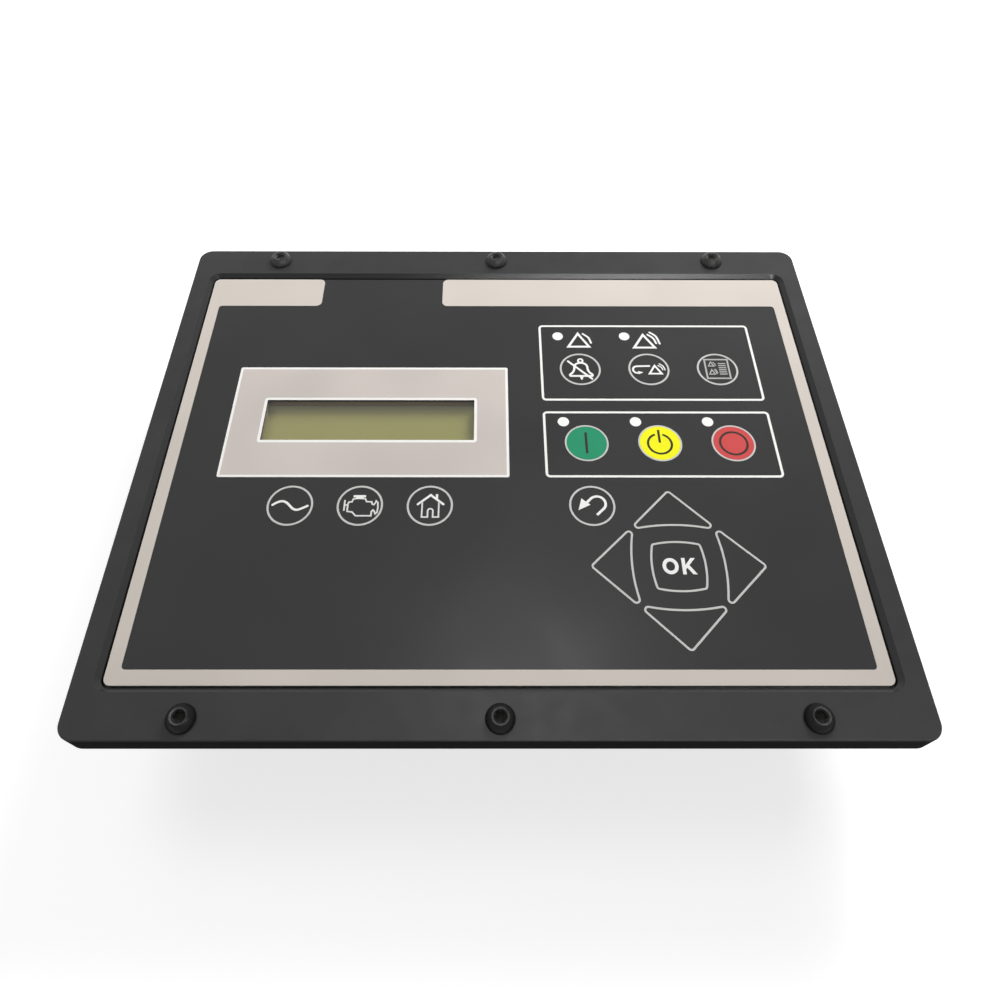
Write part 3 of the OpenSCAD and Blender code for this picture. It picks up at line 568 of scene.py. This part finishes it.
def back_symbol():
    """An arrow bent back on itself."""
    line = 0.95
    bend = arc((1.9, 0.8), 3.05, 135, -45)
    shapes = ribbon([(-2.2, 1.0), *bend, (1.45, -3.9)], line)
    shapes.append([(-5.1, -1.9), (-0.6, 0.35), (-3.75, 3.0)])
    return shapes


def wave_symbol():
    """One period of a wave."""
    line = 0.9
    wave = [(-6.3, 0.2), (-4.7, 1.3), (-2.9, 1.75), (-1.3, 1.1), (0.0, -0.15), (1.3, -1.4), (2.7, -1.85),
            (4.3, -1.3), (6.4, -0.2)]
    return stroke(smooth(wave), line)


def engine_symbol():
    """The outline of an engine block with its fan."""
    line = 0.6
    block = [(-1.7, 2.8), (-2.6, 2.7), (-3.0, 1.5), (-4.1, 1.4), (-4.4, 0.5), (-4.4, -2.5), (-2.6, -2.75),
             (-1.2, -4.3), (4.35, -4.3), (4.35, -2.6), (4.9, -1.9), (5.4, -2.4), (5.8, -3.5), (6.45, -2.8),
             (6.6, -0.8), (6.45, 1.2), (5.8, 1.9), (5.5, 1.0), (5.0, 0.3), (4.4, 0.6), (4.2, 1.5),
             (2.3, 1.6), (1.8, 2.8), (1.1, 2.8)]
    shapes = ribbon(block, line) + ribbon([(-5.6, 2.3), (-5.6, -2.2)], line)
    return shapes + ribbon([(-5.6, 0.15), (-4.4, 0.15)], line)


def engine_cap():
    return [[(-2.6, 4.35), (1.9, 4.35), (1.9, 3.4), (1.1, 3.4), (1.1, 2.65), (-1.7, 2.65), (-1.7, 3.4),
             (-2.6, 3.4)]]


def house_walls():
    """Two walls, and an arched door between them."""
    line = 0.6
    arch = arc((0.25, -2.3), 0.95, 165, 15, 15)
    door = [(-0.7, -4.8), (-0.7, -2.3), *arch, (1.2, -2.3), (1.2, -4.8)]
    return ribbon([(-2.8, 1.6), (-2.8, -4.8), *door, (3.25, -4.8), (3.25, 1.6)], line)


def house_roof():
    """The roof and its chimney."""
    line = 0.85
    return stroke([(-4.4, 0.5), (0.2, 4.4), (4.9, 0.5)], line) + ribbon([(2.45, 4.8), (2.45, 2.6)], line)


def ok_symbol():
    """The letters O and K."""
    outer, inner = (2.8, 3.08), (1.52, 1.76)
    letter_k = [(1.05, 3.1), (2.3, 3.1), (2.3, 0.45), (4.35, 3.1), (5.9, 3.1), (3.65, 0.35), (6.1, -3.1),
                (4.55, -3.1), (2.8, -0.6), (2.3, -1.2), (2.3, -3.1), (1.05, -3.1)]
    return oval_ring((-2.93, 0), outer, inner) + [letter_k]


def start_symbol():
    """An upright bar."""
    line = 1.0
    return ribbon([(-0.15, 4.95), (-0.15, -4.8)], line)


def standby_symbol():
    """An open ring with a bar in its gap."""
    ring_line, bar_line = 0.88, 0.92
    ring = arc((-0.15, -0.4), 4.55, 108, 432, 6)
    return ribbon(ring, ring_line) + ribbon([(-0.1, 6.2), (-0.1, 0.15)], bar_line)


def stop_symbol():
    """A ring."""
    line = 0.9
    return circle((0.05, -0.1), 5.2, line)


def key_places():
    """Centres of the keys, in millimetres, worked out from the prints in the frame."""
    middles = {}
    for name in ("start_key_print", "standby_key_print", "stop_key_print", "surround_print"):
        low, high = box_mm(name)
        middles[name] = ((low[0] + high[0]) / 2, (low[1] + high[1]) / 2)
    start, standby, stop, display = middles.values()
    low, high = box_mm("key_outline_print")
    alarm_y = high[1] - KEY_R
    left = low[0] + KEY_R
    return {"start": start, "standby": standby, "stop": stop,
            "silence": (start[0], alarm_y), "acknowledge": (standby[0], alarm_y), "list": (stop[0], alarm_y),
            "back": (start[0], MENU_Y), "wave": (left, MENU_Y), "engine": (display[0], MENU_Y),
            "house": (2 * display[0] - left, MENU_Y), "ok": (standby[0], low[1] + ARROW_TIP)}


def print_symbols():
    """Symbols as thick as the keys' outlines, and a thin coat of dark ink on the coloured keys."""
    keys = key_places()
    pitch = keys["acknowledge"][0] - keys["silence"][0]
    film_top = box_mm("keypad_overlay")[1][2]
    print_top = box_mm("key_outline_print")[1][2]
    on_film = (film_top, print_top)
    on_key = (print_top, print_top + COAT)
    # The plain materials that the frame brings for these two slots
    white = bpy.data.materials["white_print"]
    grey = bpy.data.materials["grey_print"]
    thin = ink("thin_print", (186, 186, 183)).material
    dark = ink("dark_print", (44, 38, 30)).material
    for name, key, shapes, heights, material, slot in (
            ("alarm_symbols", "silence", alarm_symbols(pitch), on_film, white, "white_print"),
            ("silence_symbol", "silence", silence_symbol(), on_film, white, "white_print"),
            ("acknowledge_symbol", "acknowledge", acknowledge_symbol(), on_film, white, "white_print"),
            ("back_symbol", "back", back_symbol(), on_film, white, "white_print"),
            ("wave_symbol", "wave", wave_symbol(), on_film, white, "white_print"),
            ("engine_cap", "engine", engine_cap(), on_film, white, "white_print"),
            ("house_roof", "house", house_roof(), on_film, white, "white_print"),
            ("ok_symbol", "ok", ok_symbol(), on_film, white, "white_print"),
            ("engine_symbol", "engine", engine_symbol(), on_film, grey, "grey_print"),
            ("house_walls", "house", house_walls(), on_film, grey, "grey_print"),
            ("list_symbol", "list", list_symbol(), on_film, thin, "grey_print"),
            ("start_symbol", "start", start_symbol(), on_key, dark, "overlay_film"),
            ("standby_symbol", "standby", standby_symbol(), on_key, dark, "overlay_film"),
            ("stop_symbol", "stop", stop_symbol(), on_key, dark, "overlay_film")):
        plate(name, moved(shapes, keys[key]), heights, material)


# Mounting screws with their threads. A ring is a height and a function from angle to radius

def plain(radius):
    return lambda angle: radius


def hexagon(radius):
    """A ring with its six corners at radius."""
    return lambda angle: radius * math.cos(math.pi / 6) / math.cos(angle % (math.pi / 3) - math.pi / 6)


def thread_depth(turn):
    """Share of the full depth cut away. A pitch goes from 0 to 1: crest, flank, root, flank."""
    root, crest = 0.25, 0.88
    share = abs(turn % 1 - 0.5) * 2
    return min(1, max(0, (crest - share) / (crest - root)))


def thread_rings(low, high):
    """M5 thread with a bevelled tip. At the top it runs out into its full diameter."""
    pitch, depth, major, bevel, step, run_out = 0.8, 0.46, 2.5, 0.8, 0.08, 0.4

    def thread(z):
        fade = min(1, max(0, (high - z) / pitch))
        limit = major - max(0, low + bevel - z)

        def radius(angle):
            cut = depth * fade * thread_depth(z / pitch - angle / (2 * math.pi))
            return min(limit, major - cut)
        return radius

    steps = round((high - low) / step)
    heights = [low + (high - low) * i / steps for i in range(steps + 1)]
    return [(z, thread(z)) for z in heights] + [(high + run_out, plain(major))]


def crown_rings(low, high, flat_r, steps=12):
    """The head's dome, part of a ball, from HEAD_R at low to flat_r at high."""
    rise = high - low
    drop = (HEAD_R ** 2 - flat_r ** 2 + rise ** 2) / (2 * rise)
    ball = math.hypot(drop - rise, HEAD_R)
    heights = [low + rise * i / steps for i in range(steps + 1)]
    return [(z, plain(math.sqrt(ball ** 2 - (z - high + drop) ** 2))) for z in heights]


def screw_rings(tip, seat, top):
    """From the tip up over the head and down into its socket: the outside, the socket's edge, its inside."""
    thread_top, shank_low, shank_r = seat - 9.4, seat - 8.98, 2.24
    shank = [(shank_low, plain(shank_r)), (seat, plain(shank_r))]
    rim = [(seat + 0.001, plain(HEAD_R - 0.25)), (seat + 0.06, plain(HEAD_R - 0.04)),
           (seat + 0.2, plain(HEAD_R)), (seat + 0.45, plain(HEAD_R))]
    crown = crown_rings(seat + 0.5, top - 0.04, 2.85)
    outside = [*thread_rings(tip, thread_top), *shank, *rim, *crown]
    edge = [(top, plain(2.74)), (top - 0.02, plain(2.68))]
    lead_in = [(top - 0.43, plain(2.22)), (top - 0.48, plain(2.17)), (top - 0.9, plain(2.12))]
    hexagonal = [(top - 1.0, hexagon(2.0)), (top - 2.05, hexagon(1.98)), (top - 2.1, hexagon(1.94))]
    return outside, edge, [*lead_in, *hexagonal, (top - 2.5, plain(0.5))]


def stack(name, rings, axis, material, sides):
    """One closed skin over rings round an upright axis, in millimetres."""
    x, y = axis
    verts = [(x * MM, y * MM, rings[0][0] * MM)]
    for z, radius in rings:
        for angle in turns(sides):
            r = radius(angle)
            verts.append(((x + r * math.cos(angle)) * MM, (y + r * math.sin(angle)) * MM, z * MM))
    verts.append((x * MM, y * MM, rings[-1][0] * MM))
    last = len(verts) - 1
    faces = []
    for i in range(sides):
        k = (i + 1) % sides
        faces.append((0, 1 + k, 1 + i))
        for j in range(len(rings) - 1):
            low, high = 1 + j * sides, 1 + (j + 1) * sides
            faces.append((low + i, low + k, high + k, high + i))
        faces.append((last, last - sides + i, last - sides + k))
    return piece(name, verts, faces, material)


def mounting_screws():
    """The near heads are black. The far heads get a paler copy of the finish and paler sockets: painted
    light, for the brighter look that light and reflections give them. The key has worn each edge paler by
    rubbing, and that paler edge is also a painted highlight for the light that it catches.
    """
    black = nodes["mounting_screws"].data.materials[0]
    # Painted light: a paler copy of the black finish, for the far heads only
    far_lit = Surface("far_lit_steel", (57, 57, 57), 0.42, specular=0.3)
    far_lit.vary(1.6, 0.7, 1.25).gloss(1, 0.08).grain(0.5, 0.02, 0.5)
    # The socket's edge: paler from wear, and a painted highlight
    rubbed_and_lit = Surface("rubbed_and_lit_edge", (64, 64, 65), 0.45).vary(1.2, 0.6, 1.2).grain(0.3, 0.01, 0.5)
    near_socket = Surface("socket_black", (46, 46, 44), 0.8, specular=0.1).vary(1, 0.8, 1.2)
    # Painted light: paler sockets for the far heads
    far_lit_socket = Surface("far_lit_socket", (112, 114, 110), 0.9, specular=0.1).vary(1, 0.8, 1.1)
    screws_low, screws_high = box_mm("mounting_screws")
    frame_high = box_mm("bezel")[1]
    x = screws_high[0] - HEAD_R
    y = frame_high[1] - SCREW_INSET
    outside, edge, inside = screw_rings(screws_low[2], frame_high[2], screws_high[2])
    inside_from = len(outside) + len(edge)
    places = [(column * x, row * y) for row in (-1, 1) for column in (-1, 0, 1)]
    for number, place in enumerate(places, 1):
        # The far screws take the painted-light copies
        near = place[1] < 0
        screw = stack("mounting_screw_%d" % number, [*outside, *edge, *inside], place,
                      black if near else far_lit.material, SCREW_SIDES)
        screw.data.materials.append((near_socket if near else far_lit_socket).material)
        screw.data.materials.append(rubbed_and_lit.material)
        for face in screw.data.polygons:
            ring = (min(face.vertices) - 1) // SCREW_SIDES
            if ring >= len(outside):
                face.material_index = 1 if ring >= inside_from else 2
        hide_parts("mounting_screws")


# Surroundings

def seen(tree):
    """1 for the rays that show the background: straight to the camera, or by way of gloss or glass."""
    path = tree.nodes.new("ShaderNodeLightPath")
    out = path.outputs["Is Camera Ray"]
    for name in ("Is Glossy Ray", "Is Transmission Ray"):
        larger = tree.nodes.new("ShaderNodeMath")
        larger.operation = "MAXIMUM"
        tree.links.new(out, larger.inputs[0])
        tree.links.new(path.outputs[name], larger.inputs[1])
        out = larger.outputs[0]
    return out


def add_floor():
    """A wide pale floor under the housing, lifted to white. Near the object it keeps the shadow."""
    lift_range = (0.3, 1.1)
    lift = (0.74, 1.0)
    z = cad_box[0][2] - FLOOR_GAP
    corners = [(x, y, z) for x, y in ((-FLOOR_REACH, -FLOOR_REACH), (FLOOR_REACH, -FLOOR_REACH),
                                      (FLOOR_REACH, FLOOR_REACH), (-FLOOR_REACH, FLOOR_REACH))]
    mesh = bpy.data.meshes.new("floor")
    mesh.from_pydata(corners, [], [(0, 1, 2, 3)])
    floor = bpy.data.objects.new("floor", mesh)
    bpy.context.scene.collection.objects.link(floor)
    surface = Surface("floor", (205, 205, 205), 0.9, specular=0.0)
    surface.vary(300, 0.998, 1.0).set("Emission Color", (1, 1, 1, 1))
    away = surface.node("ShaderNodeVectorMath", operation="LENGTH")
    surface.link(surface.place, away.inputs[0])
    by_distance = surface.ramp(away.outputs["Value"], *lift_range, *lift)
    surface.feed("Emission Strength", surface.times(seen(surface.tree), by_distance))
    mesh.materials.append(surface.material)


def add_world():
    """Dim on the object, and white where it is seen."""
    world = bpy.data.worlds.new("studio")
    bpy.context.scene.world = world
    world.use_nodes = True
    tree = world.node_tree
    dim = tree.nodes["Background"]
    bright = tree.nodes.new("ShaderNodeBackground")
    for background, level in ((dim, WORLD_LEVEL), (bright, 1.0)):
        background.inputs["Color"].default_value = (1, 1, 1, 1)
        background.inputs["Strength"].default_value = level
    mix = tree.nodes.new("ShaderNodeMixShader")
    tree.links.new(seen(tree), mix.inputs["Fac"])
    tree.links.new(dim.outputs[0], mix.inputs[1])
    tree.links.new(bright.outputs[0], mix.inputs[2])
    tree.links.new(mix.outputs[0], tree.nodes["World Output"].inputs["Surface"])


def add_lamp(name, place, target, size, level):
    """An area lamp of even brightness level, where 1 is white. Places and sizes are in metres."""
    data = bpy.data.lights.new(name, "AREA")
    data.shape = "RECTANGLE"
    data.size, data.size_y = size
    data.energy = level * math.pi * size[0] * size[1]
    lamp = bpy.data.objects.new(name, data)
    bpy.context.scene.collection.objects.link(lamp)
    lamp.location = place
    look = Vector(target) - Vector(place)
    lamp.rotation_euler = look.to_track_quat("-Z", "Y").to_euler()
    return lamp


def add_lamps():
    """Two lamps light the surfaces, and two are seen only as the sheen on the film and the far bevel."""
    key = add_lamp("key", (0.32, 0.57, 0.44), (0.0, 0.03, 0), (0.35, 0.35), 17.7)
    fill = add_lamp("fill", (-0.5, 0.3, 0.8), (-0.05, 0.02, 0), (0.5, 0.5), 3.3)
    for soft in (key, fill):
        soft.visible_glossy = False
    ceiling = add_lamp("ceiling", (0.07, 0.27, 1.2), (0, 0, 0), (0.16, 0.16), 24)
    front = add_lamp("front", (0.17, -0.234, 0.368), (0.06, 0.09, 0), (0.46, 0.04), 24)
    front.rotation_euler.rotate_axis("Z", math.radians(4))
    for sheen in (ceiling, front):
        sheen.visible_diffuse = False


dress_case()
dress_keypad()
dress_display()
dress_metal()
dress_electronics()
print_symbols()
mounting_screws()
add_camera()
add_floor()
add_world()
add_lamps()
bpy.context.scene.view_settings.view_transform = "Standard"
